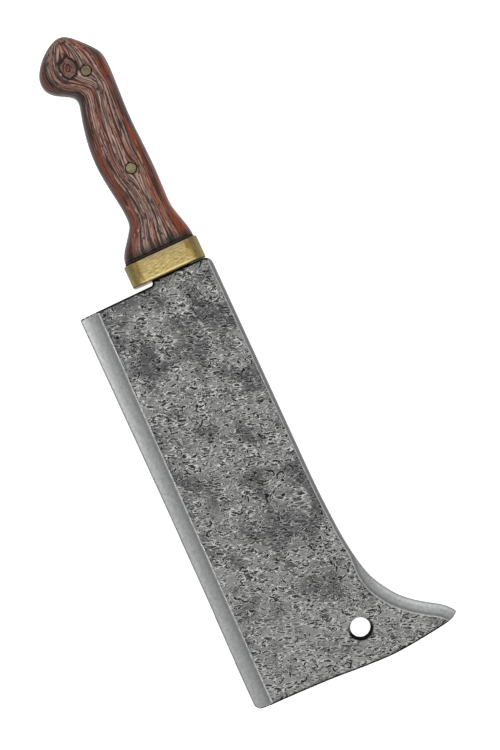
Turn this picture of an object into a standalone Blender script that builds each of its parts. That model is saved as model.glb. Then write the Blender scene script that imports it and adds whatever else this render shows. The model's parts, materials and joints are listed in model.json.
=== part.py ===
"""A heavy butcher's cleaver, lying flat: steel blade and tang, brass bolster, riveted wooden handle.

Working frame: the origin is where the blade's shoulder meets the bolster, on the middle plane of the
steel. +X runs along the blade to its far end, +Y across it to the spine, +Z out of its right face.
An empty then carries the whole tool, so that it lies on Z = 0 with the middle of its box above the
world's origin. Lengths are in metres; MM turns the outlines' millimetres into them.
"""

import math

import bmesh
import bpy
from mathutils import Vector
from mathutils.geometry import interpolate_bezier

MM = 0.001
FIT_GAP = 0.3 * MM  # between any two pieces that touch

# Blade and tang
BLADE_THICKNESS = 8.0 * MM
TANG_THICKNESS = 5.0 * MM
ARRIS_RADIUS = 1.2 * MM  # the blade's rounded arrises
HANG_HOLE_RADIUS = 6.7 * MM
HANG_HOLE_AT = Vector((261.3, 16.3)) * MM
SPINE_Y = 28.5
HEEL_X = 2.7  # the heel stands this far in front of the shoulder, and a fillet as large joins the two
SHOULDER_END_Y = -12.2
SHOULDER_CORNER_RADIUS = 5.6
EDGE_CORNER_RADIUS = 5.0

# Hollow grind of the cutting edge, and the smaller one along the spine and the hook
EDGE_WHEEL_RADIUS = 35.0 * MM
EDGE_RIDGE_Y = -52.4 * MM  # at the heel
EDGE_RIDGE_SLOPE = math.radians(-0.7)
EDGE_GRIND_WIDTH = 13.7 * MM
EDGE_HALF_THICKNESS = 0.5 * MM
HOOK_WHEEL_RADIUS = 22.0 * MM
HOOK_WHEEL_HEIGHT = 22.5 * MM  # of the wheel's centre above the middle plane
SPINE_GRIND_WIDTH = 3.0
HOOK_GRIND_WIDTH = 8.8

# Bolster and spacer
BOLSTER_SIZE = Vector((15.0, 51.6, 27.0)) * MM
BOLSTER_CORNER_RADIUS = 7.5 * MM
BOLSTER_ARRIS = 0.5 * MM
SPACER_SIZE = Vector((1.2, 48.6, 24.2)) * MM
SPACER_CORNER_RADIUS = 8.5 * MM

# Handle
SCALE_ROUNDING = 7.8 * MM  # how far in from the outline the rounding reaches
SCALE_HALF_THICKNESS = 12.0 * MM  # where the swell below is 1
SCALE_SIDE = 0.5 * MM  # half the height of the upright strip left between the two roundings
SCALE_FRONT_X = -(BOLSTER_SIZE.x + SPACER_SIZE.x + 3 * FIT_GAP)
SCALE_SEAM = 0.15 * MM  # each scale stops this far short of the middle plane
STATIONS = (-164, -17, 7)  # first, last and step of the sections the swell bends, in millimetres
SWELLS = ((-200, 1.03), (-146, 1.04), (-120, 0.91), (-80, 0.96), (-45, 0.91), (-17, 1.0), (20, 1.0))

# Cutler's rivets, each a solid male half pressed into a hollow female half
RIVET_HEAD_RADIUS = 3.5 * MM
RIVET_HEAD_HEIGHT = 3.0 * MM
RIVET_TUBE_RADIUS = 2.5 * MM
RIVET_STEM_RADIUS = 1.5 * MM
RIVET_BORE_RADIUS = RIVET_STEM_RADIUS + FIT_GAP
RIVET_STANDS_PROUD = 0.15 * MM
RIVETS = {"front": Vector((-71.5, 5.7)) * MM, "rear": Vector((-140.8, 5.6)) * MM}

ROUND_SEGMENTS = 48
EDGE_WHEEL_SEGMENTS = 180
HOOK_WHEEL_RESOLUTION = 20
PATH_STEPS = 4  # points on each span of a smooth stretch


def arc(centre_x, centre_y, radius, start, end, steps=6):
    """Points on an arc, its angles in degrees."""
    angles = (math.radians(start + (end - start) * i / steps) for i in range(steps + 1))
    return [(centre_x + radius * math.cos(a), centre_y + radius * math.sin(a)) for a in angles]


def smooth(points, steps=PATH_STEPS):
    """A smooth line through the points, ending on the last of them."""
    knots = [Vector(p) for p in points]
    last = len(knots) - 1
    slopes = [(knots[min(i + 1, last)] - knots[max(i - 1, 0)]) / 6 for i in range(last + 1)]
    line = []
    for i in range(last):
        handles = knots[i] + slopes[i], knots[i + 1] - slopes[i + 1]
        span = interpolate_bezier(knots[i], *handles, knots[i + 1], steps + 1)
        line += [tuple(p) for p in span[:-1]]
    return line + [tuple(knots[-1])]


def hook_line():
    """The back of the blade from the straight spine round the hook to its point."""
    return smooth(
        [
            (150, SPINE_Y),
            (168, 28.7),
            (186, 29.4),
            (204, 30.6),
            (221, 33.1),
            (233, 36.2),
            (242.5, 41.0),
            (251, 46.8),
            (258, 53.8),
            (264, 61.8),
            (269.4, 70.0),
            (273.5, 74.6),
            (277.4, 77.6),
        ]
    )


def blade_outline():
    shoulder = arc(0, SHOULDER_END_Y - HEEL_X, HEEL_X, 0, 90)
    spine_corner = arc(SHOULDER_CORNER_RADIUS, SPINE_Y - SHOULDER_CORNER_RADIUS,
                       SHOULDER_CORNER_RADIUS, 180, 90)
    far_end = smooth([(278.6, 77.2), (281.4, 72), (283.7, 57), (285.7, 38), (286.2, 25),
                      (285.4, 6), (284, -14), (283.1, -44), (282.9, -68.1 + EDGE_CORNER_RADIUS)])
    edge_corner = arc(282.9 - EDGE_CORNER_RADIUS, -68.1 + EDGE_CORNER_RADIUS,
                      EDGE_CORNER_RADIUS, 0, -90)[1:]
    edge = smooth([(240, -67.7), (200, -66.9), (150, -66.5), (100, -66.4)])
    heel_corner = arc(4.6, -65, 1.4, -90, -180, 3)
    return shoulder + spine_corner + hook_line() + far_end + edge_corner + edge + heel_corner


def tang_outline():
    tip = arc(-146, 5.5, 5.4, 110, 250)
    back = [(4, 13), (-18, 13), (-42, 13.4), (-120, 11.6)]
    belly = [(-120, -0.4), (-42, -5), (-18, -13), (4, -13)]
    return back + tip + belly


def handle_outline():
    """The wood's outline, carried on past its front end, which is sawn square."""
    belly = [(0, -24.2), (-10, -24.3), (-17, -24.2), (-21, -23.3), (-26, -20.6), (-36, -13.1),
             (-40, -11.2), (-45, -10.8), (-54, -11.5), (-70, -13.6), (-84, -14.7), (-98, -13.8),
             (-111, -11.4), (-120, -9.1), (-125, -8.0), (-128.9, -8.8), (-131.8, -11.8),
             (-134.3, -16), (-137.1, -20.6), (-141.0, -24.1), (-146, -25.3), (-152.0, -24.1)]
    butt = [(-159.8, -18.7), (-165.6, -11.8), (-168.7, -5.8), (-169.2, 0.1), (-166.2, 5.5)]
    back = [(-161.4, 10.5), (-154.2, 16.7), (-149.2, 19.6), (-142, 20.6), (-130, 20.3),
            (-112, 19.3), (-98, 19.1), (-84, 19.6), (-68, 19.9), (-54, 19.5), (-44.5, 19.2),
            (-38, 19.8), (-27, 22.6), (-20, 24.1), (-13, 24.3), (0, 24.3)]
    return smooth(belly + butt + back)


def swell_at(x):
    """How thick the handle is at x, as a share of its thickness at the spacer."""
    for (x0, s0), (x1, s1) in zip(SWELLS, SWELLS[1:]):
        if x <= x1 * MM:
            t = max(0.0, (x / MM - x0) / (x1 - x0))
            return s0 + (s1 - s0) * t * t * (3 - 2 * t)
    return SWELLS[-1][1]


def make_collections():
    tool = bpy.data.collections.new("cleaver")
    cutters = bpy.data.collections.new("cutters")
    for collection in (tool, cutters):
        bpy.context.scene.collection.children.link(collection)
    cutters.hide_render = True
    return tool, cutters


def make_material(name, colour, metallic, roughness):
    material = bpy.data.materials.new(name)
    material.use_nodes = True
    shader = material.node_tree.nodes["Principled BSDF"]
    shader.inputs["Base Color"].default_value = (*colour, 1)
    shader.inputs["Metallic"].default_value = metallic
    shader.inputs["Roughness"].default_value = roughness
    return material


def new_object(name, mesh, collection):
    obj = bpy.data.objects.new(name, mesh)
    collection.objects.link(obj)
    if collection.hide_render:
        obj.hide_render = True
        obj.display_type = "WIRE"
    return obj


def flat_plate(name, outlines, thickness, collection, rounding=0.0, grow=0.0, resolution=2):
    """A plate with the given outlines, the later ones holes in the first, as a closed mesh on Z = 0."""
    curve = bpy.data.curves.new(name, "CURVE")
    curve.dimensions = "2D"
    curve.fill_mode = "BOTH"
    curve.extrude = thickness / 2 - rounding
    curve.bevel_depth = rounding
    curve.bevel_resolution = resolution
    curve.offset = grow - rounding
    for points in outlines:
        spline = curve.splines.new("POLY")
        spline.points.add(len(points) - 1)
        for point, (x, y) in zip(spline.points, points):
            point.co = (x * MM, y * MM, 0, 1)
        spline.use_cyclic_u = True
    return mesh_of_curve(name, curve, collection)


def mesh_of_curve(name, curve, collection):
    """The curve as a closed mesh object. A curve's caps are loose, so they are welded on."""
    guide = bpy.data.objects.new(name + "_guide", curve)
    collection.objects.link(guide)
    graph = bpy.context.evaluated_depsgraph_get()
    mesh = bpy.data.meshes.new_from_object(guide.evaluated_get(graph))
    mesh.name = name
    bpy.data.objects.remove(guide)
    shape = bmesh.new()
    shape.from_mesh(mesh)
    bmesh.ops.remove_doubles(shape, verts=shape.verts, dist=0.01 * MM)
    bmesh.ops.recalc_face_normals(shape, faces=shape.faces)
    shape.to_mesh(mesh)
    shape.free()
    return new_object(name, mesh, collection)


def mesh_object(name, shape, collection):
    mesh = bpy.data.meshes.new(name)
    shape.to_mesh(mesh)
    shape.free()
    return new_object(name, mesh, collection)


def cylinder(name, radius, length, centre, collection, axis="Z", segments=ROUND_SEGMENTS):
    shape = bmesh.new()
    bmesh.ops.create_cone(shape, cap_ends=True, segments=segments, radius1=radius, radius2=radius, depth=length)
    obj = mesh_object(name, shape, collection)
    obj.location = centre
    if axis == "X":
        obj.rotation_euler.y = math.pi / 2
    return obj


def round_bar(name, size, corner_radius, arris, centre, collection):
    """A bar along X whose section is a rectangle with round corners, its end arrises chamfered."""
    shape = bmesh.new()
    bmesh.ops.create_cube(shape, size=1)
    bmesh.ops.scale(shape, vec=size, verts=shape.verts)
    lengthwise = [e for e in shape.edges if abs((e.verts[0].co - e.verts[1].co).x) > size.x / 2]
    bmesh.ops.bevel(shape, geom=lengthwise, offset=corner_radius, segments=8, profile=0.5,
                    affect="EDGES", material=-1)
    if arris:
        ends = [e for e in shape.edges if abs(e.verts[0].co.x - e.verts[1].co.x) < arris / 10]
        bmesh.ops.bevel(shape, geom=ends, offset=arris, segments=2, profile=0.5,
                        affect="EDGES", material=-1)
    obj = mesh_object(name, shape, collection)
    obj.location = centre
    return obj


def combine(obj, cutter, operation):
    """Adds a Boolean to the object. EXACT is Blender's default solver."""
    modifier = obj.modifiers.new(f"{operation.lower()} {cutter.name}", "BOOLEAN")
    modifier.operation = operation
    modifier.object = cutter


def edge_wheels(cutters):
    """The wheel's path along the cutting edge, as a long cylinder on each side of the blade."""
    half = BLADE_THICKNESS / 2
    chord = Vector((EDGE_GRIND_WIDTH, EDGE_HALF_THICKNESS - half))
    to_centre = Vector((-chord.y, chord.x)).normalized()
    reach = math.sqrt(EDGE_WHEEL_RADIUS**2 - (chord.length / 2) ** 2)
    outward, height = chord / 2 + to_centre * reach
    wheels = []
    for side in (1, -1):
        centre = (140 * MM, EDGE_RIDGE_Y - outward + 140 * MM * math.sin(EDGE_RIDGE_SLOPE), side * (half + height))
        wheel = cylinder(f"edge_wheel_{'right' if side > 0 else 'left'}", EDGE_WHEEL_RADIUS, 400 * MM,
                         centre, cutters, "X", EDGE_WHEEL_SEGMENTS)
        wheel.rotation_euler.z = EDGE_RIDGE_SLOPE
        wheels.append(wheel)
    return wheels


def hook_wheels(cutters):
    """A small wheel's path along the spine and the inside of the hook, where its cut grows wider."""
    to_ridge = math.sqrt(HOOK_WHEEL_RADIUS**2 - (HOOK_WHEEL_HEIGHT - BLADE_THICKNESS / 2) ** 2) / MM
    line = [Vector(p) for p in [(-30, SPINE_Y), (60, SPINE_Y), (110, SPINE_Y)] + hook_line()[:-1]]
    line.append(line[-1] + (line[-1] - line[-4]).normalized() * 14)
    path = []
    for i, point in enumerate(line):
        along = (line[min(i + 1, len(line) - 1)] - line[max(i - 1, 0)]).normalized()
        t = min(max((point.x - 212) / (244 - 212), 0), 1)
        width = SPINE_GRIND_WIDTH + (HOOK_GRIND_WIDTH - SPINE_GRIND_WIDTH) * t * t * (3 - 2 * t)
        path.append(point + Vector((-along.y, along.x)) * (to_ridge - width))
    wheels = []
    for side in (1, -1):
        name = f"hook_wheel_{'right' if side > 0 else 'left'}"
        curve = bpy.data.curves.new(name, "CURVE")
        curve.dimensions = "3D"
        curve.bevel_depth = HOOK_WHEEL_RADIUS
        curve.bevel_resolution = HOOK_WHEEL_RESOLUTION
        curve.use_fill_caps = True
        spline = curve.splines.new("POLY")
        spline.points.add(len(path) - 1)
        for point, place in zip(spline.points, path):
            point.co = (place.x * MM, place.y * MM, side * HOOK_WHEEL_HEIGHT, 1)
        wheels.append(mesh_of_curve(name, curve, cutters))
    return wheels


def make_blade(tool, cutters, steel):
    """The forging: a thick plate with a hanging hole, both grinds, and a thinner tang for the handle."""
    hole = arc(*(HANG_HOLE_AT / MM), HANG_HOLE_RADIUS / MM, 0, 360, ROUND_SEGMENTS)[:-1]
    blade = flat_plate("blade", [blade_outline(), hole], BLADE_THICKNESS, tool, ARRIS_RADIUS)
    for wheel in edge_wheels(cutters) + hook_wheels(cutters):
        combine(blade, wheel, "DIFFERENCE")
    tang = flat_plate("tang_stock", [tang_outline()], TANG_THICKNESS, cutters)
    combine(blade, tang, "UNION")
    for name, place in RIVETS.items():
        combine(blade, cylinder(f"tang_hole_{name}", RIVET_TUBE_RADIUS + FIT_GAP, 3 * TANG_THICKNESS,
                                (*place, 0), cutters), "DIFFERENCE")
    blade.data.materials.append(steel)
    return blade


def make_bolster(tool, tang_slot, brass):
    centre = (-BOLSTER_SIZE.x / 2 - FIT_GAP, 0, 0)
    bolster = round_bar("bolster", BOLSTER_SIZE, BOLSTER_CORNER_RADIUS, BOLSTER_ARRIS, centre, tool)
    combine(bolster, tang_slot, "DIFFERENCE")
    bolster.data.materials.append(brass)
    return bolster


def make_spacer(tool, tang_slot, fibre):
    centre = (-BOLSTER_SIZE.x - 2 * FIT_GAP - SPACER_SIZE.x / 2, 0, 0)
    spacer = round_bar("fibre_spacer", SPACER_SIZE, SPACER_CORNER_RADIUS, 0, centre, tool)
    combine(spacer, tang_slot, "DIFFERENCE")
    spacer.data.materials.append(fibre)
    return spacer


def slice_at(shape, place, normal, clear_outer=False):
    """Cuts the faces along a plane and gives the edges of the cut."""
    everything = shape.verts[:] + shape.edges[:] + shape.faces[:]
    cut = bmesh.ops.bisect_plane(shape, geom=everything, plane_co=place, plane_no=normal,
                                 clear_outer=clear_outer)
    return [e for e in cut["geom_cut"] if isinstance(e, bmesh.types.BMEdge)]


def make_scale(side, tool, cutters, tang_slot, wood):
    """Half of the wooden handle: a rounded block, sawn off at the seam and at the spacer."""
    name = "scale_right" if side > 0 else "scale_left"
    stock = SCALE_ROUNDING + SCALE_SIDE
    scale = flat_plate(name, [handle_outline()], 2 * stock, tool, SCALE_ROUNDING, resolution=5)
    shape = bmesh.new()
    shape.from_mesh(scale.data)
    for station in range(*STATIONS):
        slice_at(shape, (station * MM, 0, 0), (1, 0, 0))
    for vertex in shape.verts:
        vertex.co.z *= swell_at(vertex.co.x) * SCALE_HALF_THICKNESS / stock
    cuts = (((0, 0, side * SCALE_SEAM), (0, 0, -side)), ((SCALE_FRONT_X, 0, 0), (1, 0, 0)))
    for place, normal in cuts:
        rim = slice_at(shape, place, normal, clear_outer=True)
        bmesh.ops.edgenet_fill(shape, edges=rim)
    bmesh.ops.recalc_face_normals(shape, faces=shape.faces)
    shape.to_mesh(scale.data)
    shape.free()
    combine(scale, tang_slot, "DIFFERENCE")
    for rivet, place in RIVETS.items():
        face = SCALE_HALF_THICKNESS * swell_at(place.x)
        depth = RIVET_HEAD_HEIGHT - RIVET_STANDS_PROUD + FIT_GAP
        combine(scale, cylinder(f"{name}_{rivet}_bore", RIVET_TUBE_RADIUS + FIT_GAP, 4 * face,
                                (*place, 0), cutters), "DIFFERENCE")
        combine(scale, cylinder(f"{name}_{rivet}_counterbore", RIVET_HEAD_RADIUS + FIT_GAP, 2 * depth,
                                (*place, side * face), cutters), "DIFFERENCE")
    scale.data.materials.append(wood)
    return scale


def turned(name, profile, place, side, tool, brass):
    """A solid turned about Z from its (radius, height) profile, which runs from its head's middle."""
    shape = bmesh.new()
    points = [shape.verts.new((radius, 0, side * height)) for radius, height in profile]
    for start, end in zip(points, points[1:]):
        shape.edges.new((start, end))
    bmesh.ops.spin(shape, geom=shape.verts[:] + shape.edges[:], cent=(0, 0, 0), axis=(0, 0, 1),
                   angle=math.tau, steps=ROUND_SEGMENTS, use_merge=True)
    bmesh.ops.remove_doubles(shape, verts=shape.verts, dist=0.01 * MM)
    bmesh.ops.recalc_face_normals(shape, faces=shape.faces)
    obj = mesh_object(name, shape, tool)
    obj.location = (*place, 0)
    obj.data.materials.append(brass)
    return obj


def make_rivet(name, place, tool, brass):
    """The male half's head is on the right face, and its stem ends inside the female half's tube."""
    top = SCALE_HALF_THICKNESS * swell_at(place.x) + RIVET_STANDS_PROUD
    under = top - RIVET_HEAD_HEIGHT
    arris = 0.3 * MM
    stem_end = -(under - 1.5 * MM)
    head = [(0, top), (RIVET_HEAD_RADIUS - arris, top), (RIVET_HEAD_RADIUS, top - arris), (RIVET_HEAD_RADIUS, under)]
    male = head + [(RIVET_STEM_RADIUS, under), (RIVET_STEM_RADIUS, stem_end), (0, stem_end)]
    tube_end = -(under - 2 * FIT_GAP)
    bore_end = under - 0.8 * MM
    female = head + [(RIVET_TUBE_RADIUS, under), (RIVET_TUBE_RADIUS, tube_end),
                     (RIVET_BORE_RADIUS, tube_end), (RIVET_BORE_RADIUS, bore_end), (0, bore_end)]
    return [turned(f"{name}_rivet_male", male, place, 1, tool, brass),
            turned(f"{name}_rivet_female", female, place, -1, tool, brass)]


def lay_flat(pieces, tool, cutters):
    """Hangs everything on one empty that sets the tool down on Z = 0, its box centred on the origin."""
    bpy.context.view_layer.update()
    graph = bpy.context.evaluated_depsgraph_get()
    corners = []
    for piece in pieces:
        body = piece.evaluated_get(graph)
        corners += [body.matrix_world @ vertex.co for vertex in body.data.vertices]
    low = Vector(min(corner[i] for corner in corners) for i in range(3))
    high = Vector(max(corner[i] for corner in corners) for i in range(3))
    frame = bpy.data.objects.new("cleaver_frame", None)
    tool.objects.link(frame)
    frame.location = (-(low.x + high.x) / 2, -(low.y + high.y) / 2, -low.z)
    for obj in pieces + list(cutters.objects):
        obj.parent = frame


def main():
    for obj in list(bpy.data.objects):
        bpy.data.objects.remove(obj)
    tool, cutters = make_collections()
    steel = make_material("forged_steel", (0.25, 0.25, 0.25), 1.0, 0.5)
    brass = make_material("aged_brass", (0.55, 0.42, 0.18), 1.0, 0.35)
    wood = make_material("red_hardwood", (0.20, 0.06, 0.04), 0.0, 0.4)
    fibre = make_material("black_fibre", (0.02, 0.02, 0.02), 0.0, 0.7)

    tang_slot = flat_plate("tang_slot", [tang_outline()], TANG_THICKNESS + 2 * FIT_GAP, cutters, grow=FIT_GAP)
    pieces = [
        make_blade(tool, cutters, steel),
        make_bolster(tool, tang_slot, brass),
        make_spacer(tool, tang_slot, fibre),
        make_scale(1, tool, cutters, tang_slot, wood),
        make_scale(-1, tool, cutters, tang_slot, wood),
    ]
    for name, place in RIVETS.items():
        pieces += make_rivet(name, place, tool, brass)
    for piece in pieces:
        piece.data.shade_smooth()
        piece.data.set_sharp_from_angle(angle=math.radians(25))
    lay_flat(pieces, tool, cutters)


main()
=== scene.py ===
"""The looks of a heavy butcher's cleaver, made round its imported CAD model.

The blade, the two handle scales, the bolster and the spacer are skinned from their CAD pieces in small
even cells, so that pits, tool marks and worn arrises can be real relief. The rivets are turned.
Lengths are in metres, and MM turns a maker's millimetres into them.
"""

import json
import math
import random

import bmesh
import bpy
import numpy as np
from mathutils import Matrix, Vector, kdtree, noise
from mathutils.bvhtree import BVHTree


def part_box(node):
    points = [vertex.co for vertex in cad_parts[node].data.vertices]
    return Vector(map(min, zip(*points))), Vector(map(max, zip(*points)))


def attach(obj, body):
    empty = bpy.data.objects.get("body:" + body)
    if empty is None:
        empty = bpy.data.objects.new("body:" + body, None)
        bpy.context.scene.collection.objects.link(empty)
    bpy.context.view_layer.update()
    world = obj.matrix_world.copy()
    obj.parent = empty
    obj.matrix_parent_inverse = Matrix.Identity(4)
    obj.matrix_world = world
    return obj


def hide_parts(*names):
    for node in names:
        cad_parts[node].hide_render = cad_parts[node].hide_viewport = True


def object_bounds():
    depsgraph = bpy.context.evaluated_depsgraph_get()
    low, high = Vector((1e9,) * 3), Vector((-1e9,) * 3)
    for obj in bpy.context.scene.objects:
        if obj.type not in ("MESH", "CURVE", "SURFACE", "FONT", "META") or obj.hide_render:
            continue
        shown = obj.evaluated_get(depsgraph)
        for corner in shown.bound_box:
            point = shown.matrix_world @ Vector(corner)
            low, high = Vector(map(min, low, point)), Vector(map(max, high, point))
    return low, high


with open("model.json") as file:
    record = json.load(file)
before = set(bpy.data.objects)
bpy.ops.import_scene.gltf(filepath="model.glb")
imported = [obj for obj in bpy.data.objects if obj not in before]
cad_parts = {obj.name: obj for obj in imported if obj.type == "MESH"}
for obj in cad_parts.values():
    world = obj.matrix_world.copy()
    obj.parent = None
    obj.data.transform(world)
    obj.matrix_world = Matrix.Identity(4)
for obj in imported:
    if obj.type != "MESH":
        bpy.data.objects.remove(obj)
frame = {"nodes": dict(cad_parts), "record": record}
cad_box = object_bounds()

MM = 0.001

# Places that follow from the frame
BLADE_LOW, BLADE_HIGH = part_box("blade")
BRASS_LOW, BRASS_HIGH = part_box("bolster")
WOOD_LOW, WOOD_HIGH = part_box("scale_right")
MIDDLE_Z = (BLADE_LOW.z + BLADE_HIGH.z) / 2
FACE_HEIGHT = (BLADE_HIGH.z - BLADE_LOW.z) / 2  # of the blade's flat above its middle plane
SHOULDER_X = BRASS_HIGH.x
BOLSTER_MIDDLE = (BRASS_LOW + BRASS_HIGH) / 2
GROUND_Z = cad_box[0].z
HOLE_BOX = frame["record"]["physics"]["openings"][0]["box_m"]
HOLE_AT = (Vector(HOLE_BOX[0]) + Vector(HOLE_BOX[1])).xy / 2

# The blade's forged skin
BLADE_CELL = 0.62 * MM
BLADE_TRIANGLES = 192_000
PIT_DEPTH = 0.22 * MM
PIT_RIM_HEIGHT = 0.06 * MM
PIT_COUNT = 1500  # on each face
PIT_SHORTEST, PIT_LONGEST = 0.6 * MM, 7 * MM
PIT_MEAN_EXTRA = 1.7 * MM  # that a pit is longer than the shortest, on average
PIT_NARROWEST, PIT_WIDEST = 0.24 * MM, 0.46 * MM  # half widths
PIT_STRIDE = 0.25 * MM
PIT_CROWDS = 26 * MM  # size of the crowds that the pits gather in
PIT_RUN = math.radians(66)  # the pits mostly run across the blade
PIT_SPREAD = math.radians(30)
PIT_TURN = math.pi / 2 - PIT_RUN
WORMS = (  # families of fine worm-like pits: turn, how stretched, cells per millimetre, share of cells filled
    (0.0, 0.22, 0.33, 0.90),
    (-0.3, 0.28, 0.37, 0.72),
    (0.6, 0.44, 0.44, 0.55),
)
HAMMER_DEPTH = 0.10 * MM
HOLE_SHADE_REACH = 8.8 * MM  # as far from the hole's middle as the painted shadow on its far wall reaches
HOLE_CLEAR = 16.6 * MM  # the black on the far end keeps farther than this from the hole's middle

# The steel's colours
STEEL_DARK, STEEL_LIGHT = (0.080, 0.081, 0.083), (0.275, 0.275, 0.265)
STEEL_CLOUD = (0.034, 0.035, 0.037)
# dark floors of the worm pits and pits; their light lips are burnished steel with a painted highlight
WORM_FLOOR, WORM_LIP_HIGHLIGHT = (0.018, 0.018, 0.019), (0.58, 0.58, 0.565)
PIT_FLOOR, PIT_LIP_HIGHLIGHT = (0.016, 0.016, 0.017), (0.60, 0.60, 0.58)
# forge scale on the walls of the heel and the far end, with painted shade in the heel's slot and a painted
# shadow on the hole's far wall
FORGE_SCALE_AND_SHADE = (0.006, 0.006, 0.007)
SATIN_DARK, SATIN_LIGHT = (0.40, 0.41, 0.41), (0.60, 0.61, 0.61)
SATIN_SHADE = (0.10, 0.10, 0.10)
# painted highlight along the grinding's crest
RIDGE_HIGHLIGHT = (0.93, 0.94, 0.93)

# The handle's wood
WOOD_CELL = 0.5 * MM
CARVING_DEPTH = 0.12 * MM
KNOT_AT = WOOD_LOW.xy + Vector((21.9, 20.8)) * MM
KNOT_SIZE = Vector((7.6, 5.8)) * MM  # half its length and breadth
KNOT_RIPPLE = 0.09 * MM
KNOT_REACH, RIVET_REACH = 10 * MM, 6.5 * MM  # as far aside as the grain gives way round them
OUTLINE_STEPS = 120  # along the handle, where its outline is measured

# The wood's colours
RED_DARK, RED_LIGHT = (0.026, 0.007, 0.004), (0.34, 0.046, 0.008)
# the middle's greyish-pink: dust, and a painted sheen of the light from above
DUST_AND_SHEEN_DARK, DUST_AND_SHEEN_LIGHT = (0.040, 0.016, 0.011), (0.50, 0.315, 0.250)
FLUSH_RED = (0.29, 0.055, 0.022)
GLOW_RED = (0.40, 0.080, 0.018)
# painted shade on the handle's blade-edge side
EDGE_SIDE_SHADE = (0.030, 0.013, 0.009)
# pale grain threads with a painted highlight on the raised grain, mostly on the flat middle
PALE_THREAD_AND_HIGHLIGHT = (0.60, 0.42, 0.35)
LINE_BROWN, GROWTH_BROWN = (0.020, 0.008, 0.006), (0.022, 0.009, 0.006)
RING_BLACK, PORE_BLACK = (0.012, 0.005, 0.004), (0.016, 0.008, 0.007)
KNOT_DARK, KNOT_LIGHT, KNOT_FLECK = (0.008, 0.004, 0.003), (0.23, 0.085, 0.058), (0.30, 0.20, 0.17)
KNOT_BARK = (0.007, 0.004, 0.003)
# grime round the rivets; and darker wood over the last few millimetres by the spacer
GRIME_BLACK, BOLSTER_END_DARK = (0.010, 0.006, 0.005), (0.008, 0.005, 0.004)
WOOD_DUST = (0.8, 0.75, 0.73)

# The brass and the fibre
BRASS_CELL = 0.4 * MM
BRASS_WEAR = 0.05 * MM
RIVET_CROWN = 0.12 * MM
RIVET_HEAD_HEIGHT = 3 * MM
RIVET_HEAD = (  # its outline from the middle out: share of the radius, and crown heights below the top
    (0, 0),
    (0.35, 0.15),
    (0.7, 0.5),
    (0.88, 1),
    (0.94, 1.3),
    (0.98, 2),
    (1, 4),
)

# The brass's and the fibre's colours
BRASS_DARK, BRASS_LIGHT = (0.180, 0.132, 0.046), (0.465, 0.365, 0.155)
BRASS_BLOTCH = (0.26, 0.185, 0.095)
# darker towards the wood
BRASS_WOODWARD_DARK = (0.20, 0.155, 0.085)
# painted dark reflection on the bolster's rounded corners
FLANK_DARK_REFLECTION, FLANK_DARKEST_REFLECTION = (0.26, 0.175, 0.050), (0.055, 0.034, 0.014)
# painted highlight along the blade-side edge of the bolster
# painted light reflection at both ends of the bolster
BRASS_END_REFLECTION, BRASS_EDGE_HIGHLIGHT = (0.56, 0.46, 0.23), (0.85, 0.72, 0.36)
OLIVE_DARK, OLIVE_LIGHT = (0.17, 0.14, 0.080), (0.30, 0.25, 0.145)
OLIVE_STAIN, OLIVE_OLD = (0.100, 0.085, 0.050), (0.055, 0.045, 0.027)
# darker round the rim of each rivet head
RIVET_RIM_DARK = (0.018, 0.014, 0.009)
FIBRE_DARK, FIBRE_LIGHT = (0.008, 0.008, 0.008), (0.03, 0.028, 0.026)

# The view: how far above the blade the eye is, and how the cleaver lies under it
EYE_HEIGHT = 1200 * MM
EYE_OFFSET = Vector((23.6, 14.9)) * MM  # from the middle of the cleaver's box
VIEW_TURN = math.radians(65.3)
FILM = 36.0
FIELD_HEIGHT = 487.5 * MM  # of the stretch of blade and table that the eye takes in

# The room and its light
ROOM_SIZE = 8.0
LAMPS = (  # metres up and right of the middle in the view, metres above the floor, size, watts
    ("key_lamp", 0.6, -0.4, 1.3, 0.8, 4.8),
    ("low_lamp", -0.8, 0.6, 1.0, 0.6, 2.0),
    ("top_lamp", 0.0, 0.0, 1.6, 1.1, 5.2),
)
AIR = ((0.0, (0.75,) * 3), (0.25, (0.33,) * 3), (0.6, (0.42,) * 3), (1.0, (0.42,) * 3))  # from the horizon up


# ------------------------------------------------------------------ shader sums


class Value:
    """A shader socket that can stand in a sum like a number."""

    def __init__(self, finish, socket):
        self.finish = finish
        self.socket = socket

    def math(self, operation, *others):
        return self.finish.node("ShaderNodeMath", {"operation": operation}, self, *others)

    def __add__(self, other):
        return self.math("ADD", other)

    __radd__ = __add__

    def __mul__(self, other):
        return self.math("MULTIPLY", other)

    __rmul__ = __mul__

    def __sub__(self, other):
        return self.math("SUBTRACT", other)

    def __rsub__(self, other):
        return self.finish.node("ShaderNodeMath", {"operation": "SUBTRACT"}, other, self)

    def __abs__(self):
        return self.math("ABSOLUTE")

    def sine(self):
        return self.math("SINE")

    def at_most(self, other):
        return self.math("MINIMUM", other)

    def rise(self, low, high):
        """0 below low, 1 above high, and a soft step between; it falls when low is above high."""
        if low > high:
            return 1 - self.rise(high, low)
        settings = {"interpolation_type": "SMOOTHSTEP"}
        return self.finish.node("ShaderNodeMapRange", settings, self, low, high, 0.0, 1.0)


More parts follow.
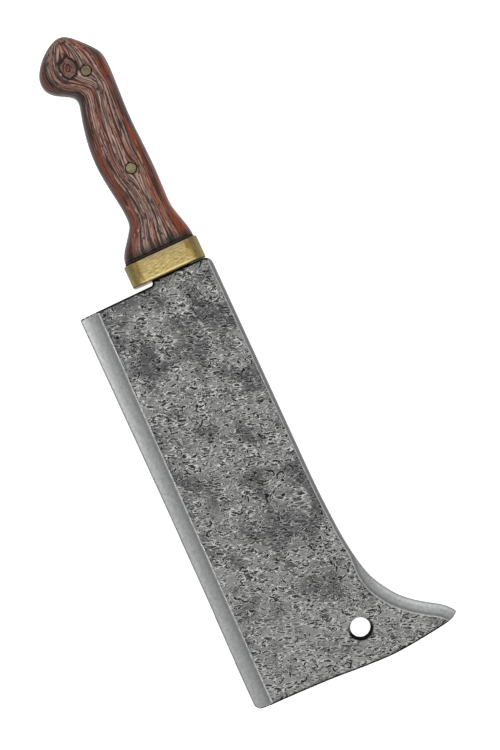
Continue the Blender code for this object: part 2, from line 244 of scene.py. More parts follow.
class Finish:
    """A material or the world being put together: its node tree and the few nodes every finish needs."""

    def __init__(self, owner, shader="Principled BSDF"):
        self.owner = owner
        self.owner.use_nodes = True
        self.tree = owner.node_tree
        self.shader = self.tree.nodes[shader]

    def feed(self, socket, value):
        if isinstance(value, Value):
            self.tree.links.new(value.socket, socket)
        elif isinstance(value, tuple) and len(value) == 3 and socket.type == "RGBA":
            socket.default_value = (*value, 1)
        else:
            socket.default_value = value

    def node(self, kind, settings, *values, out=None, **named):
        """A new node: its settings first, then its sockets by place or by name."""
        node = self.tree.nodes.new(kind)
        for key, setting in settings.items():
            if key == "stops":
                self.set_stops(node.color_ramp, setting)
            else:
                setattr(node, key, setting)
        for socket, value in zip(node.inputs, values):
            self.feed(socket, value)
        for key, value in named.items():
            self.feed(node.inputs[key.replace("_", " ")], value)
        socket = node.outputs[out] if out else next(s for s in node.outputs if s.enabled)
        return Value(self, socket)

    @staticmethod
    def set_stops(ramp, stops):
        while len(ramp.elements) < len(stops):
            ramp.elements.new(0.5)
        for element, (place, colour) in zip(ramp.elements, stops):
            element.position = place
            element.color = (*colour, 1)

    def place(self):
        """Object coordinates, in millimetres."""
        return self.scaled(self.node("ShaderNodeTexCoord", {}, out="Object"), (1 / MM,) * 3)

    def scaled(self, place, scale, turn=0.0):
        """The place turned about Z and then measured with another scale on each axis."""
        turned = self.node("ShaderNodeVectorRotate", {"rotation_type": "Z_AXIS"}, Vector=place, Angle=turn)
        return self.node("ShaderNodeVectorMath", {"operation": "MULTIPLY"}, turned, scale)

    def shifted(self, place, by):
        return self.node("ShaderNodeVectorMath", {"operation": "ADD"}, place, by)

    def axis(self, place, name):
        return self.node("ShaderNodeSeparateXYZ", {}, place, out=name)

    def attribute(self, name, out="Fac"):
        return self.node("ShaderNodeAttribute", {"attribute_name": name}, out=out)

    def noise(self, place, scale, detail=3.0, roughness=0.5, distortion=0.0):
        return self.node("ShaderNodeTexNoise", {}, out="Fac", Vector=place, Scale=scale, Detail=detail,
                         Roughness=roughness, Distortion=distortion)

    def cells(self, place, scale):
        """Points scattered over the XY plane: how far off the nearest is, and a random share of its own."""
        distance = self.node("ShaderNodeTexVoronoi", {"voronoi_dimensions": "2D"}, out="Distance",
                             Vector=place, Scale=scale)
        return distance, self.axis(Value(self, distance.socket.node.outputs["Color"]), "X")

    def swirled(self, place, scale, reach):
        """The place pushed to and fro by up to half the reach on every axis."""
        push = self.node("ShaderNodeTexNoise", {}, out="Color", Vector=place, Scale=scale, Detail=1.0)
        settings = {"operation": "MULTIPLY_ADD"}
        centred = self.node("ShaderNodeVectorMath", settings, push, (reach,) * 3, (-reach / 2,) * 3)
        return self.shifted(place, centred)

    def mix(self, factor, a, b):
        """Colour a where the factor is 0 and b where it is 1."""
        node = self.tree.nodes.new("ShaderNodeMix")
        node.data_type = "RGBA"
        colours = [s for s in node.inputs if s.type == "RGBA"]
        self.feed(node.inputs[0], factor)
        self.feed(colours[0], a)
        self.feed(colours[1], b)
        return Value(self, next(s for s in node.outputs if s.type == "RGBA"))

    def relief(self, height, depth):
        """A bump of the given depth in metres where height goes from 0 to 1."""
        return self.node("ShaderNodeBump", {}, Height=height, Distance=depth, Strength=1.0)

    def coat(self, **sockets):
        """Sets the shader's own sockets, from numbers, colours or values."""
        for key, value in sockets.items():
            self.feed(self.shader.inputs[key.replace("_", " ")], value)
        return self.owner


def new_finish(name):
    return Finish(bpy.data.materials.new(name))


# ------------------------------------------------------------------ meshes


def show(name, mesh):
    piece = bpy.data.objects.new(name, mesh)
    bpy.context.scene.collection.objects.link(piece)
    return piece


def with_modifier(mesh, kind, **settings):
    """The mesh as one modifier leaves it."""
    carrier = show("carrier", mesh)
    modifier = carrier.modifiers.new(kind.lower(), kind)
    for key, setting in settings.items():
        setattr(modifier, key, setting)
    graph = bpy.context.evaluated_depsgraph_get()
    made = bpy.data.meshes.new_from_object(carrier.evaluated_get(graph))
    bpy.data.objects.remove(carrier)
    bpy.data.meshes.remove(mesh)
    return made


def skin_of(node, cell):
    """A CAD piece's shape in an even skin of small cells, its arrises rounded by about a cell."""
    shape = bmesh.new()
    shape.from_mesh(frame["nodes"][node].data)
    bmesh.ops.remove_doubles(shape, verts=shape.verts, dist=0.001 * MM)
    mesh = bpy.data.meshes.new(node + "_merged")
    shape.to_mesh(mesh)
    shape.free()
    return with_modifier(mesh, "REMESH", mode="VOXEL", voxel_size=cell, use_smooth_shade=True)


def places_of(mesh):
    """Where a mesh's vertices are, one to a row."""
    flat = np.zeros(len(mesh.vertices) * 3)
    mesh.vertices.foreach_get("co", flat)
    return flat.reshape(-1, 3)


def put_back(mesh, places):
    mesh.vertices.foreach_set("co", places.ravel())
    mesh.update()


def normals_of(mesh):
    flat = np.zeros(len(mesh.vertices) * 3, np.float32)
    mesh.vertex_normals.foreach_get("vector", flat)
    return flat.reshape(-1, 3)


def note(mesh, name, values):
    """Keeps a number, or a vector, for every vertex as an attribute that a finish can read."""
    values = np.asarray(values, np.float32)
    if values.ndim == 1:
        mesh.attributes.new(name, "FLOAT", "POINT").data.foreach_set("value", values)
    else:
        mesh.attributes.new(name, "FLOAT_VECTOR", "POINT").data.foreach_set("vector", values.ravel())


def step(values, low, high):
    """A soft step from 0 to 1 between low and high."""
    t = np.clip((values - low) / (high - low), 0, 1)
    return t * t * (3 - 2 * t)


def wave(places, size, seed=0.0):
    """Smooth noise of the given feature size at each place, from about -1 to 1."""
    return np.array([noise.noise(Vector(p) / size + Vector((seed, -seed, 3 * seed))) for p in places])


def soften(mesh, rounds):
    """Evens out the steps that the cells leave."""
    shape = bmesh.new()
    shape.from_mesh(mesh)
    for _ in range(rounds):
        bmesh.ops.smooth_vert(shape, verts=shape.verts, factor=0.5,
                              use_axis_x=True, use_axis_y=True, use_axis_z=True)
    shape.to_mesh(mesh)
    shape.free()


def finish_piece(name, mesh, node, material):
    """Shades a mesh smooth, paints it and puts it in the place of its CAD piece."""
    mesh.name = name
    mesh.shade_smooth()
    mesh.materials.clear()
    mesh.materials.append(material)
    piece = show(name, mesh)
    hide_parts(node)
    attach(piece, "root")


# ------------------------------------------------------------------ the blade


def scatter_pits(rng):
    """Short wandering grooves for one face, as a tree of points with a half width and a strength each."""
    spots = []
    while len(spots) < PIT_COUNT:
        x = rng.uniform(SHOULDER_X, BLADE_HIGH.x)
        y = rng.uniform(BLADE_LOW.y, BLADE_HIGH.y)
        crowding = 0.55 + 0.9 * noise.noise(Vector((x, y, 0)) / PIT_CROWDS)
        if rng.random() < crowding:
            spots.append((x, y))
    points = []
    for x, y in spots:
        length = min(PIT_SHORTEST + rng.expovariate(1 / PIT_MEAN_EXTRA), PIT_LONGEST)
        width = rng.uniform(PIT_NARROWEST, PIT_WIDEST)
        strength = rng.uniform(0.35, 1.0)
        heading = rng.gauss(PIT_RUN, PIT_SPREAD)
        curl = rng.gauss(0, 0.08) if rng.random() < 0.8 else rng.choice((-1, 1)) * rng.uniform(0.3, 0.5)
        steps = max(1, round(length / PIT_STRIDE))
        for i in range(steps):
            taper = 0.55 + 0.45 * math.sin(math.pi * (i + 0.5) / steps)
            points.append((x, y, width * taper, strength))
            heading += curl + rng.gauss(0, 0.22)
            x += math.cos(heading) * PIT_STRIDE
            y += math.sin(heading) * PIT_STRIDE
    tree = kdtree.KDTree(len(points))
    for i, (x, y, _, _) in enumerate(points):
        tree.insert((x, y, 0), i)
    tree.balance()
    return tree, points


def measure_pits(places, faces):
    """How far each place is outside the nearest pit's wall, in metres, and that pit's strength."""
    outside = np.empty(len(places))
    strength = np.empty(len(places))
    for i, (x, y, z) in enumerate(places):
        tree, points = faces[z > MIDDLE_Z]
        near = [(gap - points[k][2], points[k][3]) for _, k, gap in tree.find_n((x, y, 0), 3)]
        outside[i], strength[i] = min(near)
    return outside, strength


def measure_grinding(places):
    """How far the CAD blade's surface lies below its flat at each place, in metres."""
    steel = frame["nodes"]["blade"].data
    tree = BVHTree.FromPolygons([v.co for v in steel.vertices], [p.vertices for p in steel.polygons])
    depth = np.full(len(places), FACE_HEIGHT)
    for i, (x, y, z) in enumerate(places):
        side = 1 if z > MIDDLE_Z else -1
        hit = tree.ray_cast(Vector((x, y, MIDDLE_Z + side * 2 * FACE_HEIGHT)), Vector((0, 0, -side)))
        if hit[0]:
            depth[i] = FACE_HEIGHT - abs(hit[0].z - MIDDLE_Z)
    return np.clip(depth, 0, FACE_HEIGHT)


def measure_scale_and_shade(places, normals):
    """1 on the walls and rounded edges of the heel, the far end and the hole's far half, and 0 on the faces:
    forge scale, with painted shade in the heel's slot and a painted shadow on the hole's far wall.
    """
    x, along = places[:, 0], normals[:, 0]
    from_hole = np.hypot(x - HOLE_AT.x, places[:, 1] - HOLE_AT.y)
    heel = step(-along, 0.04, 0.22) * (x < SHOULDER_X + 6 * MM)
    far_end = step(along, 0.05, 0.25) * (from_hole > HOLE_CLEAR)
    # painted shadow: the wall on the hole's far half, dark as if in shade
    hole = step(HOLE_SHADE_REACH - from_hole, 0, 0.5 * MM) * step(x - HOLE_AT.x, -6 * MM, 2 * MM)
    return np.maximum.reduce([far_end, heel, hole])


def make_blade(material):
    """The forged blade, hammered a little uneven, pitted on its flats and ground smooth at its bands."""
    mesh = skin_of("blade", BLADE_CELL)
    soften(mesh, 2)
    places = places_of(mesh)
    rng = random.Random(11)
    faces = {True: scatter_pits(rng), False: scatter_pits(rng)}
    outside, strength = measure_pits(places, faces)
    ground = step(measure_grinding(places), 0.02 * MM, 0.3 * MM)
    flat = (1 - ground) * (np.abs(places[:, 2] - MIDDLE_Z) > 0.8 * FACE_HEIGHT)
    floor = 1 - step(outside, -0.25 * MM, 0.3 * MM)
    rim = step(outside, 0.0, 0.4 * MM) * (1 - step(outside, 0.5 * MM, 1.1 * MM))
    hammered = wave(places, 17 * MM, 4) * 0.7 + wave(places, 6 * MM, 9) * 0.3
    sink = strength * (floor * PIT_DEPTH - rim * PIT_RIM_HEIGHT) + (hammered + 0.6) * HAMMER_DEPTH
    places[:, 2] -= np.sign(places[:, 2] - MIDDLE_Z) * flat * np.maximum(sink, 0)
    put_back(mesh, places)
    share = BLADE_TRIANGLES / (2 * len(mesh.polygons))
    mesh = with_modifier(mesh, "DECIMATE", ratio=min(1.0, share))
    places = places_of(mesh)
    outside, strength = measure_pits(places, faces)
    note(mesh, "pit_distance", np.clip(outside / MM, -1, 2))
    note(mesh, "pit_strength", strength)
    arris = measure_scale_and_shade(places, normals_of(mesh))
    note(mesh, "arris", arris)
    note(mesh, "ground_depth", measure_grinding(places) * (arris < 0.02) / MM)
    finish_piece("blade_forged", mesh, "blade", material)


def worm_pits(finish, place, across):
    """Fine worm-like pits that mostly run across the blade: their floors, and the lips round them, which are
    painted light as burnished steel and a painted highlight.
    """
    wander = finish.swirled(finish.scaled(place, (1.0, 1.0, 0.0)), 0.22, 3.6)
    floors, walls = [], []
    for turn, stretch, scale, fill in WORMS:
        moved = finish.shifted(wander, (90 * turn, 0, 0))
        laid = finish.scaled(moved, (1.0, stretch, 1.0), PIT_TURN + turn)
        gap, share = finish.cells(laid, scale)
        beyond = gap - share * 0.13 - 0.09
        there = share.rise(fill, fill - 0.02)
        floors.append(beyond.rise(0.05, -0.03) * there)
        walls.append(beyond.rise(0.03, 0.07) * beyond.rise(0.21, 0.13) * there)
    curve = abs(finish.noise(across, 0.32, 1.0, 0.5, 1.1) - 0.5)
    broken = finish.noise(finish.shifted(across, (0, 30, 0)), 0.30, 1.0)
    floors.append(curve.rise(0.055, 0.025) * broken.rise(0.52, 0.55) * 0.8)
    walls.append(curve.rise(0.095, 0.072) * curve.rise(0.042, 0.058) * broken.rise(0.51, 0.54) * 0.7)
    return sum(floors).at_most(1.0), sum(walls).at_most(1.0)


def ground_bands(finish, place, depth):
    """Satin steel where the grinding cut below the flat: its colour with painted shade on the steep part next
    to the crest, its brushing, and a painted highlight along the crest.
    """
    brushing = finish.noise(finish.scaled(place, (0.25, 2.2, 2.2)), 1.0, 3.0, 0.6)
    mottle = finish.noise(place, 0.5, 3.0, 0.65)
    tone = brushing.rise(0.3, 0.7) * 0.4 + mottle.rise(0.3, 0.7) * 0.6
    satin = finish.mix(tone, SATIN_DARK, SATIN_LIGHT)
    spineward = finish.axis(place, "Y").rise(-5, 5)
    shade = depth.rise(0.35, 0.60) * depth.rise(2.0, 0.8) * (0.25 + 0.15 * spineward)
    satin = finish.mix(shade, satin, SATIN_SHADE)
    wavy = depth + (finish.noise(place, 0.35, 2.0) - 0.5) * 0.6
    beads = finish.noise(place, 0.55, 2.0).rise(0.35, 0.58)
    # painted highlight along the grinding's crest, weaker on the spine side
    ridge_highlight = depth.rise(0.02, 0.10) * wavy.rise(0.58, 0.36) * (0.45 + 0.55 * beads)
    return satin, brushing, ridge_highlight * (0.95 - 0.50 * spineward)


def forged_steel():
    """Etched, pitted steel with dark clouds, burnished pit lips with a painted highlight, satin ground bands
    with painted shade and a painted highlight along their crest, and walls black with forge scale and painted
    shade.
    """
    finish = new_finish("forged_steel_skin")
    place = finish.place()
    across = finish.scaled(place, (1.0, 0.45, 1.0), PIT_TURN)
    strength = finish.attribute("pit_strength")
    depth = finish.attribute("ground_depth")
    arris = finish.attribute("arris")

    ground = (depth + (finish.noise(place, 0.22, 2.0) - 0.5) * 0.16).rise(0.07, 0.20)
    forged = 1 - ground
    pit_edge = finish.attribute("pit_distance") + (finish.noise(place, 1.1, 2.0) - 0.5) * 0.3
    floor = pit_edge.rise(0.12, -0.10) * strength.rise(0.2, 0.6) * forged
    # the pits' lips, painted light as burnished steel with a painted highlight
    rim = pit_edge.rise(0.06, 0.22) * pit_edge.rise(0.62, 0.34) * strength * forged

    patchy = finish.noise(place, 0.13, 2.0).rise(0.30, 0.60)
    worm_floor, worm_lip_highlight = worm_pits(finish, place, across)
    worm_floor = worm_floor * (0.5 + 0.5 * patchy)
    worm_lip_highlight = worm_lip_highlight * (0.45 + 0.55 * patchy)

    clouds = finish.noise(place, 0.045, 3.0, 0.48, 0.4)
    grit = finish.noise(across, 1.05, 2.0, 0.7, 0.6)
    farther = finish.axis(place, "X").rise(SHOULDER_X / MM + 130, BLADE_HIGH.x / MM)
    tone = clouds.rise(0.40, 0.62) * 0.40 + grit.rise(0.25, 0.75) * 0.60 + farther * 0.34 - 0.02
    skin = finish.mix(tone, STEEL_DARK, STEEL_LIGHT)
    # light lips round the worm pits and pits: burnished steel with a painted highlight
    skin = finish.mix(worm_lip_highlight * 0.80, skin, WORM_LIP_HIGHLIGHT)
    skin = finish.mix(worm_floor * 0.93, skin, WORM_FLOOR)
    skin = finish.mix(rim * 0.7, skin, PIT_LIP_HIGHLIGHT)
    skin = finish.mix(floor * 0.92, skin, PIT_FLOOR)
    shaded = (clouds + farther * 0.12).rise(0.55, 0.38) * 0.50
    skin = finish.mix(shaded, skin, STEEL_CLOUD)
    # black forge scale on the walls, and painted shade in the heel's slot and on the hole's far wall
    skin = finish.mix(arris, skin, FORGE_SCALE_AND_SHADE)

    satin, brushing, ridge_highlight = ground_bands(finish, place, depth)
    colour = finish.mix(ground, skin, satin)
    # painted highlight along the grinding's crest
    colour = finish.mix(ridge_highlight, colour, RIDGE_HIGHLIGHT)

    rough = 0.50 - 0.08 * ground + 0.2 * floor + 0.3 * arris
    height = grit * 0.5 - floor * 1.2 + rim * 0.7 - worm_floor * 0.9 + worm_lip_highlight * 0.5
    relief = finish.relief(height * forged + brushing * ground * 0.12, 0.17 * MM)
    return finish.coat(Base_Color=colour, Metallic=1 - 0.98 * arris, Roughness=rough, Normal=relief,
                       Specular_IOR_Level=0.08)


# ------------------------------------------------------------------ the handle


def grain_of(places):
    """Where each place lies in the wood's grain: millimetres along, share across, millimetres through."""
    x, y = places[:, 0], places[:, 1]
    bins = np.linspace(WOOD_LOW.x, WOOD_HIGH.x, OUTLINE_STEPS)
    which = np.clip(np.digitize(x, bins) - 1, 0, len(bins) - 1)
    edge = outline_of(x, y, bins, which, np.min)
    back = outline_of(x, y, bins, which, np.max)
    half = np.maximum((back - edge) / 2, 4 * MM)
    across = y + parting_of(places) - (edge + back) / 2
    return np.stack([x / MM, across / half, (places[:, 2] - MIDDLE_Z) / MM], 1)


def outline_of(x, y, bins, which, pick):
    """One side of the handle's outline beside each place: its lowest or highest Y, a little smoothed."""
    side = np.array([pick(y[which == i]) if np.any(which == i) else np.nan for i in range(len(bins))])
    known = ~np.isnan(side)
    smoother = np.array([1, 2, 3, 2, 1]) / 9
    side = np.convolve(np.pad(np.interp(bins, bins[known], side[known]), 2, "edge"), smoother, "valid")
    return np.interp(x, bins, side)


def rivet_heads():
    """The middles of the two rivets, seen from above."""
    boxes = [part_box(node) for node in ("front_rivet_male", "rear_rivet_male")]
    return [((low + high) / 2).xy for low, high in boxes]


def parting_of(places):
    """How far sideways the grain gives way round the knot and the rivets, in metres."""
    shift = np.zeros(len(places))
    for centre, reach in [(KNOT_AT, KNOT_REACH), *((head, RIVET_REACH) for head in rivet_heads())]:
        away = places[:, :2] - np.array(centre)
        near = np.exp(-((away[:, 0] / (1.6 * reach)) ** 2 + (away[:, 1] / reach) ** 2))
        shift -= 0.75 * away[:, 1] * near
    return shift


def grime_of(places):
    """1 in the dirt round a rivet's head and in the short cracks that run along the grain from it."""
    grime = np.zeros(len(places))
    for head in rivet_heads():
        away = places[:, :2] - np.array(head)
        ring = 1 - step(np.hypot(away[:, 0], away[:, 1]), 3.5 * MM, 4.4 * MM)
        crack = np.exp(-((away[:, 0] / (8 * MM)) ** 2 + (away[:, 1] / (1.5 * MM)) ** 2))
        grime = np.maximum.reduce([grime, ring, crack])
    return grime


def make_scale(node, name, material):
    """One half of the handle, its grain raised and its knot carved by years of wear."""
    mesh = skin_of(node, WOOD_CELL)
    soften(mesh, 2)
    places = places_of(mesh)
    grain = grain_of(places)
    outward = normals_of(mesh)
    shown = step(np.abs(places[:, 2] - MIDDLE_Z), 0.4 * MM, 1.5 * MM)
    streaky = grain * np.array([0.05, 9.0, 0.25])
    relief = np.array([noise.noise(Vector(p)) for p in streaky]) * 0.5
    relief += wave(places, 14 * MM, 2) * 0.5
    carved = shown * CARVING_DEPTH * (relief - 0.7)
    away = (places[:, :2] - np.array(KNOT_AT)) / np.array(KNOT_SIZE)
    reach = np.hypot(away[:, 0], away[:, 1]) + 0.08 * wave(places, 3 * MM, 6)
    ripples = np.cos(reach * 15) * (1 - step(reach, 0.9, 1.15))
    carved -= shown * KNOT_RIPPLE * (1 - ripples) * (1 - step(reach, 0.9, 1.2))
    places += outward * carved[:, None]
    put_back(mesh, places)
    note(mesh, "grain", grain)
    note(mesh, "knot", np.clip(reach, 0, 3))
    note(mesh, "grime", grime_of(places))
    finish_piece(name, mesh, node, material)


def knot_in(finish, place, colour, lines, pores):
    """The colour with a ringed knot in it, and the height of the knot's rings."""
    uneven = finish.noise(place, 0.22, 3.0, 0.6) - 0.5
    ragged = finish.attribute("knot") + (lines - 0.5) * 0.35 + uneven * 0.85
    ringed = (ragged * 19.0).sine()
    inside = ragged.rise(1.10, 0.98)
    bark = ragged.rise(1.2, 1.05) * ragged.rise(0.74, 0.90)
    heart = finish.mix(ringed.rise(-0.5, 0.6), KNOT_DARK, KNOT_LIGHT)
    heart = finish.mix(pores.rise(0.50, 0.60) * 0.5, heart, KNOT_FLECK)
    colour = finish.mix(inside * 0.92, colour, heart)
    return finish.mix(bark * 0.95, colour, KNOT_BARK), ringed * inside


def red_hardwood():
    """Oiled red-brown wood: glossy red sides, and a close-grained middle painted greyish-pink for dust and
    for a painted sheen of the light from above, with painted shade on the blade-edge side.
    """
    finish = new_finish("red_hardwood_figure")
    place = finish.place()
    ahead = finish.axis(place, "X")
    grain = finish.attribute("grain", "Vector")
    across = finish.axis(grain, "Y")

    sway = finish.noise(finish.scaled(grain, (0.018, 0.7, 0.02)), 1.0, 1.0)
    bent = finish.shifted(grain, finish.node("ShaderNodeCombineXYZ", {}, 0.0, (sway - 0.5) * 0.42, 0.0))
    broad = finish.noise(finish.scaled(bent, (0.012, 2.6, 0.10)), 1.0, 2.0, 0.5)
    rings = abs(finish.noise(finish.scaled(bent, (0.016, 6.5, 0.30)), 1.0, 1.0, 0.5) - 0.5)
    lines = finish.noise(finish.scaled(bent, (0.055, 12.5, 0.8)), 1.0, 2.0, 0.6)
    threads = abs(finish.noise(finish.scaled(bent, (0.028, 9.0, 0.5)), 1.0, 1.0, 0.5) - 0.5)
    pores = finish.noise(finish.scaled(bent, (0.25, 16.0, 1.6)), 1.0, 2.0, 0.6)
    growth = (finish.axis(bent, "Y") * 58 + broad * 16).sine()

    side = abs(across + (broad - 0.5) * 0.45).rise(0.42, 0.74)
    red = finish.mix(broad.rise(0.42, 0.58), RED_DARK, RED_LIGHT)
    fine = lines.rise(0.36, 0.64) * 0.62 + growth.rise(-0.9, 0.7) * 0.38
    # the greyish-pink middle: dust, and a painted sheen of the light from above
    dust_and_sheen = finish.mix(fine, DUST_AND_SHEEN_DARK, DUST_AND_SHEEN_LIGHT)
    colour = finish.mix(side * 0.90 + 0.06, dust_and_sheen, red)
    flush = broad.rise(0.52, 0.62) * (1 - side)
    colour = finish.mix(flush * 0.55, colour, FLUSH_RED)
    # painted shade on the blade-edge side of the handle; it also dulls the red glow there
    edge_side_shade = across.rise(-0.20, -0.60) * ahead.rise(WOOD_LOW.x / MM + 25, WOOD_LOW.x / MM + 50)
    glow = abs(across).rise(0.46, 0.60) * abs(across).rise(0.90, 0.72) * broad.rise(0.40, 0.56)
    colour = finish.mix(glow * (0.6 - 0.45 * edge_side_shade), colour, GLOW_RED)
    colour = finish.mix(edge_side_shade * 0.38, colour, EDGE_SIDE_SHADE)

    # pale grain threads with a painted highlight on the raised grain, mostly on the flat middle
    colour = finish.mix(threads.rise(0.030, 0.010) * (0.8 - 0.6 * side), colour, PALE_THREAD_AND_HIGHLIGHT)
    colour = finish.mix(lines.rise(0.44, 0.36) * 0.62, colour, LINE_BROWN)
    colour = finish.mix(growth.rise(-0.55, -0.95) * 0.6, colour, GROWTH_BROWN)
    colour = finish.mix(rings.rise(0.034, 0.012) * 0.88, colour, RING_BLACK)
    colour = finish.mix(pores.rise(0.44, 0.34) * (0.90 - 0.4 * side), colour, PORE_BLACK)
    colour, knot_rings = knot_in(finish, place, colour, lines, pores)

    grime = finish.attribute("grime") + (lines - 0.5) * 1.2 + (pores - 0.5) * 0.8
    colour = finish.mix(grime.rise(0.55, 0.80) * 0.9, colour, GRIME_BLACK)
    # darker over the last few millimetres before the spacer
    bolsterward_dark = ahead.rise(WOOD_HIGH.x / MM - 7.5, WOOD_HIGH.x / MM - 0.5)
    colour = finish.mix(bolsterward_dark * 0.8, colour, BOLSTER_END_DARK)

    rough = 0.42 + 0.2 * pores - 0.14 * side
    height = lines * 0.5 + pores * 0.35 + rings.rise(0.0, 0.05) * 0.6 + knot_rings * 0.4
    relief = finish.relief(height, 0.25 * MM)
    return finish.coat(Base_Color=colour, Roughness=rough, Normal=relief, Specular_IOR_Level=0.22,
                       Coat_Weight=0.02 + 0.30 * side, Coat_Roughness=0.22, Sheen_Weight=0.42,
                       Sheen_Roughness=0.25, Sheen_Tint=WOOD_DUST)


# ------------------------------------------------------------------ brass and fibre


def make_bolster(material):
    """The cast brass block, its faces a little uneven from filing."""
    mesh = skin_of("bolster", BRASS_CELL)
    soften(mesh, 2)
    places = places_of(mesh)
    worn = BRASS_WEAR * wave(places, 5 * MM, 5) - BRASS_WEAR
    put_back(mesh, places + normals_of(mesh) * worn[:, None])
    finish_piece("bolster_brass", mesh, "bolster", material)


def bolster_brass():
    """Satin brass brushed along its length, darker towards the wood, with a painted dark reflection on its
    rounded corners, a painted light reflection at each end and a painted highlight along the blade-side edge.
    """
    finish = new_finish("bolster_brass_satin")
    place = finish.place()
    ahead = finish.axis(place, "X")
    lines = finish.noise(finish.scaled(place, (2.0, 0.22, 2.0)), 1.0, 3.0, 0.7)
    blotches = finish.noise(place, 0.28, 3.0, 0.65)
    smudges = finish.noise(place, 0.20, 1.0)
    off_middle = abs(finish.axis(place, "Y") - BOLSTER_MIDDLE.y / MM) + (smudges - 0.5) * 3
    # darker towards the wood, with a blotchy boundary
    behind = (ahead + (blotches - 0.5) * 4).rise(BRASS_HIGH.x / MM - 7, BRASS_LOW.x / MM + 1)
    # painted dark reflection on the rounded corners
    flank_reflection = off_middle.rise(14.8, 18.0) * off_middle.rise(22.0, 18.6)
    # painted light reflection at both ends of the bolster
    end_reflection = off_middle.rise(18.5, 23.5)
    # painted highlight along the blade-side edge of the bolster
    worn = ahead.rise(BRASS_HIGH.x / MM - 1.8, BRASS_HIGH.x / MM - 1.2) * off_middle.rise(24, 12)

    colour = finish.mix(lines.rise(0.37, 0.63), BRASS_DARK, BRASS_LIGHT)
    colour = finish.mix(blotches.rise(0.50, 0.66) * 0.45, colour, BRASS_BLOTCH)
    colour = finish.mix(behind * 0.60, colour, BRASS_WOODWARD_DARK)
    # painted dark reflection on the rounded corners, darkest in smudges
    colour = finish.mix(flank_reflection * 0.60, colour, FLANK_DARK_REFLECTION)
    colour = finish.mix(flank_reflection * smudges.rise(0.30, 0.66) * 0.60, colour, FLANK_DARKEST_REFLECTION)
    # painted light reflection at both ends of the bolster
    colour = finish.mix(end_reflection * 0.35, colour, BRASS_END_REFLECTION)
    # painted highlight along the blade-side edge of the bolster
    colour = finish.mix(worn * 0.45, colour, BRASS_EDGE_HIGHLIGHT)
    relief = finish.relief(lines, 0.03 * MM)
    return finish.coat(Base_Color=colour, Metallic=1.0, Roughness=0.36 + 0.14 * blotches, Normal=relief)


def make_spacer(material):
    mesh = skin_of("fibre_spacer", BRASS_CELL)
    soften(mesh, 1)
    finish_piece("fibre_spacer_cut", mesh, "fibre_spacer", material)


def black_fibre():
    """Pressed fibre: nearly black, with fine layers along its thickness."""
    finish = new_finish("black_fibre_board")
    layers = finish.noise(finish.scaled(finish.place(), (6.0, 0.3, 0.3)), 1.0, 3.0)
    colour = finish.mix(layers, FIBRE_DARK, FIBRE_LIGHT)
    return finish.coat(Base_Color=colour, Roughness=0.75, Normal=finish.relief(layers, 0.03 * MM))


def make_rivet(node, material):
    """A turned rivet half: a slightly crowned head with a rounded rim, and its shank."""
    low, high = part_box(node)
    centre = (low + high) / 2
    head_up = "_male" in node
    top, end = (high.z, low.z) if head_up else (low.z, high.z)
    way = 1 if head_up else -1
    radius = (high.x - low.x) / 2
    places = places_of(frame["nodes"][node].data)
    spread = np.hypot(places[:, 0] - centre.x, places[:, 1] - centre.y)
    shank = spread[np.abs(places[:, 2] - end) < 0.1 * MM].max()
    under = top - way * RIVET_HEAD_HEIGHT
    profile = [(share * radius, top - way * drop * RIVET_CROWN) for share, drop in RIVET_HEAD]
    profile += [(radius, under), (shank, under), (shank, end), (0, end)]
    shape = bmesh.new()
    points = [shape.verts.new((centre.x + out, centre.y, z)) for out, z in profile]
    for start, stop in zip(points, points[1:]):
        shape.edges.new((start, stop))
    bmesh.ops.spin(shape, geom=shape.verts[:] + shape.edges[:], cent=(centre.x, centre.y, 0),
                   axis=(0, 0, 1), angle=math.tau, steps=64, use_merge=True)
    bmesh.ops.remove_doubles(shape, verts=shape.verts, dist=0.002 * MM)
    bmesh.ops.recalc_face_normals(shape, faces=shape.faces)
    mesh = bpy.data.meshes.new(node + "_turned")
    shape.to_mesh(mesh)
    shape.free()
    made = places_of(mesh)
    note(mesh, "from_axis", np.hypot(made[:, 0] - centre.x, made[:, 1] - centre.y) / radius)
    finish_piece(node + "_turned", mesh, node, material)
    mesh.set_sharp_from_angle(angle=math.radians(50))


def rivet_brass():
    """Brass gone dull and olive, with dark scratches, darker on the rear rivet and darker round its rim."""
    finish = new_finish("rivet_brass_dull")
    place = finish.place()
    scratches = finish.noise(finish.scaled(place, (0.7, 2.2, 1.0), 0.5), 1.0, 3.0, 0.7)
    stains = finish.noise(place, 0.45, 2.0)
    rear = finish.axis(place, "X").rise(WOOD_LOW.x / MM + 60, WOOD_LOW.x / MM + 50)
    rim = finish.attribute("from_axis") + (stains - 0.5) * 0.12

    colour = finish.mix(scratches.rise(0.3, 0.7), OLIVE_DARK, OLIVE_LIGHT)
    colour = finish.mix(stains.rise(0.45, 0.65) * 0.5, colour, OLIVE_STAIN)
    colour = finish.mix(rear * 0.4, colour, OLIVE_OLD)
    # darker round the rim of the head
    colour = finish.mix(rim.rise(0.86, 0.95) * 0.65, colour, RIVET_RIM_DARK)
    relief = finish.relief(scratches, 0.02 * MM)
    return finish.coat(Base_Color=colour, Metallic=1.0, Roughness=0.5 + 0.1 * stains, Normal=relief)


# ------------------------------------------------------------------ studio


def add_lamp(name, place, size, power):
    """A soft round lamp that faces the middle of the cleaver."""
    lamp = bpy.data.lights.new(name, "AREA")
    lamp.shape = "DISK"
    lamp.size = size
    lamp.energy = power
    holder = bpy.data.objects.new(name, lamp)
    bpy.context.scene.collection.objects.link(holder)
    holder.location = place
    aim = Vector((0, 0, MIDDLE_Z)) - place
    holder.rotation_euler = aim.to_track_quat("-Z", "Y").to_euler()


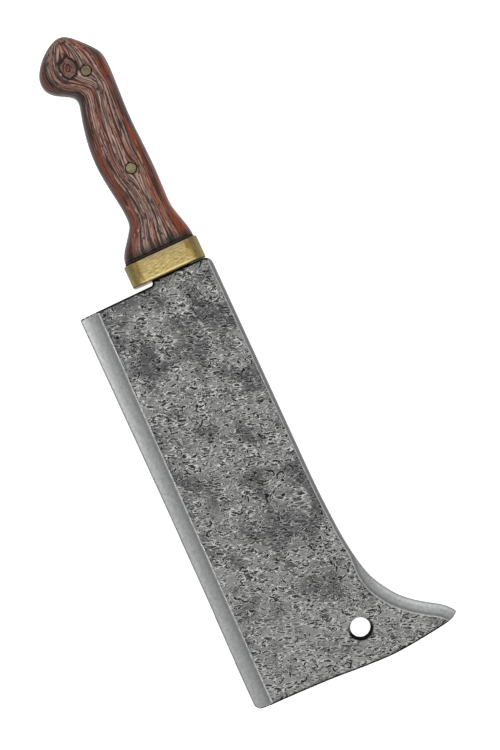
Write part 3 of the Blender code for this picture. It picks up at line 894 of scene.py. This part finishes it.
def backdrop(name, shape, brightness):
    """White paper that the eye sees but the cleaver doesn't mirror, as if it lay far away."""
    mesh = bpy.data.meshes.new(name)
    shape.to_mesh(mesh)
    shape.free()
    sheet = show(name, mesh)
    paper = new_finish(name + "_paper")
    mesh.materials.append(paper.coat(Base_Color=(0.8, 0.8, 0.8), Roughness=0.9, Emission_Color=(1, 1, 1),
                                     Emission_Strength=brightness))
    sheet.visible_diffuse = False
    sheet.visible_glossy = False
    return sheet


def add_room():
    """A white floor under a white dome."""
    shape = bmesh.new()
    bmesh.ops.create_grid(shape, x_segments=8, y_segments=8, size=ROOM_SIZE / 2)
    backdrop("studio_floor", shape, 0.8).location.z = GROUND_Z
    shape = bmesh.new()
    bmesh.ops.create_uvsphere(shape, u_segments=48, v_segments=24, radius=0.49 * ROOM_SIZE)
    bmesh.ops.reverse_faces(shape, faces=shape.faces)
    backdrop("studio_dome", shape, 0.95).visible_shadow = False


def add_light():
    """Three soft lamps, and air that is brightest along the horizon."""
    up = Vector((-math.sin(VIEW_TURN), math.cos(VIEW_TURN), 0))  # the way that is up in the view
    right = Vector((math.cos(VIEW_TURN), math.sin(VIEW_TURN), 0))
    for name, upward, rightward, height, size, power in LAMPS:
        add_lamp(name, upward * up + rightward * right + Vector((0, 0, height)), size, power)

    world = bpy.data.worlds.new("studio_air")
    bpy.context.scene.world = world
    air = Finish(world, "Background")
    heading = air.axis(air.node("ShaderNodeTexCoord", {}, out="Generated"), "Z")
    air.coat(Color=air.node("ShaderNodeValToRGB", {"stops": AIR}, heading))
    bpy.context.scene.view_settings.view_transform = "Standard"


def add_camera():
    """The eye, high above the blade and looking straight down."""
    camera = bpy.data.cameras.new("eye")
    camera.sensor_width = FILM
    camera.lens = FILM * EYE_HEIGHT / FIELD_HEIGHT
    holder = bpy.data.objects.new("eye", camera)
    bpy.context.scene.collection.objects.link(holder)
    middle = (cad_box[0] + cad_box[1]) / 2
    holder.location = (middle.x + EYE_OFFSET.x, middle.y + EYE_OFFSET.y, BLADE_HIGH.z + EYE_HEIGHT)
    holder.rotation_euler = (0, 0, VIEW_TURN)
    bpy.context.scene.camera = holder


# ------------------------------------------------------------------ the cleaver


make_blade(forged_steel())
wood = red_hardwood()
make_scale("scale_right", "handle_scale_right", wood)
make_scale("scale_left", "handle_scale_left", wood)
make_bolster(bolster_brass())
make_spacer(black_fibre())
dull_brass = rivet_brass()
for rivet in ("front_rivet_male", "front_rivet_female", "rear_rivet_male", "rear_rivet_female"):
    make_rivet(rivet, dull_brass)
add_room()
add_light()
add_camera()
